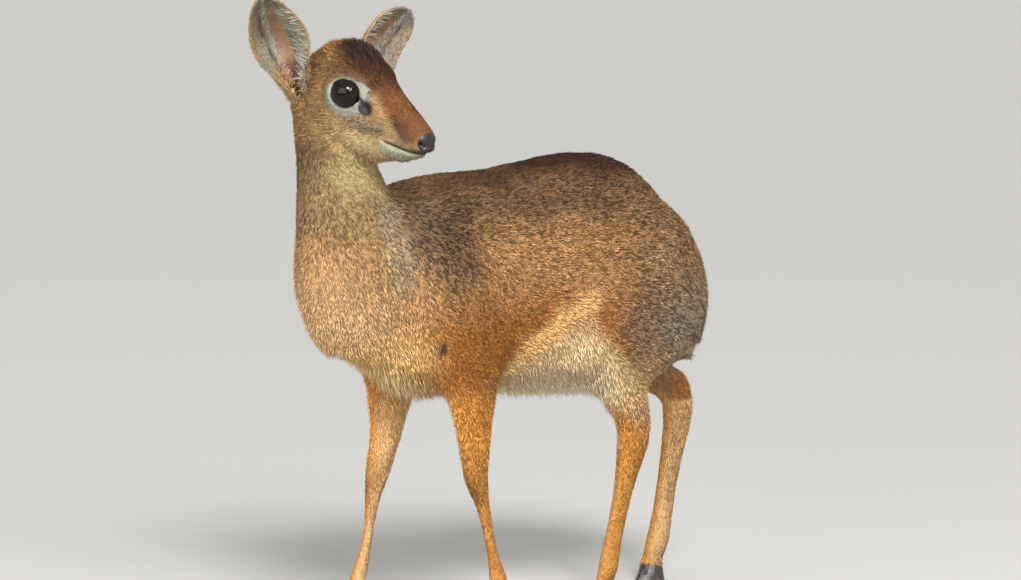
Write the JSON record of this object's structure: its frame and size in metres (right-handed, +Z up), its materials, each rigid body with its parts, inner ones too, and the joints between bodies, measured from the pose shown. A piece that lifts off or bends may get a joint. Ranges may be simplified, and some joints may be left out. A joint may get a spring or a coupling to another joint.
{
  "type": "dik-dik",
  "caption": "Life-size still model of a small hornless antelope that stands with its head turned to its left.",
  "frame": {"origin": "on the floor, under the middle of the model's box", "axes": "+Z up; the chest faces -Y and the animal's left side faces +X; the head looks towards +X"},
  "size_m": [0.1662, 0.4868, 0.4938],
  "materials": {
    "coat": "short, ticked hair, grizzled on the back, tan on the sides and legs, cream below",
    "ear": "short tan hair outside, long white hair over bare brown skin inside",
    "nose": "bare dark skin, moist",
    "horn": "dark horn, worn, satin",
    "eye": "very dark brown, wet and clear over it"
  },
  "bodies": {
    "root": {"head": "coat", "neck": "coat", "torso": "coat", "tail": "coat", "ear_left": "ear", "ear_right": "ear", "foreleg_left": "coat", "foreleg_right": "coat", "hindleg_left": "coat", "hindleg_right": "coat", "hoof_fore_left": "horn", "hoof_fore_right": "horn", "hoof_hind_left": "horn", "hoof_hind_right": "horn", "eye_left": "eye", "eye_right": "eye"}
  },
  "joints": []
}
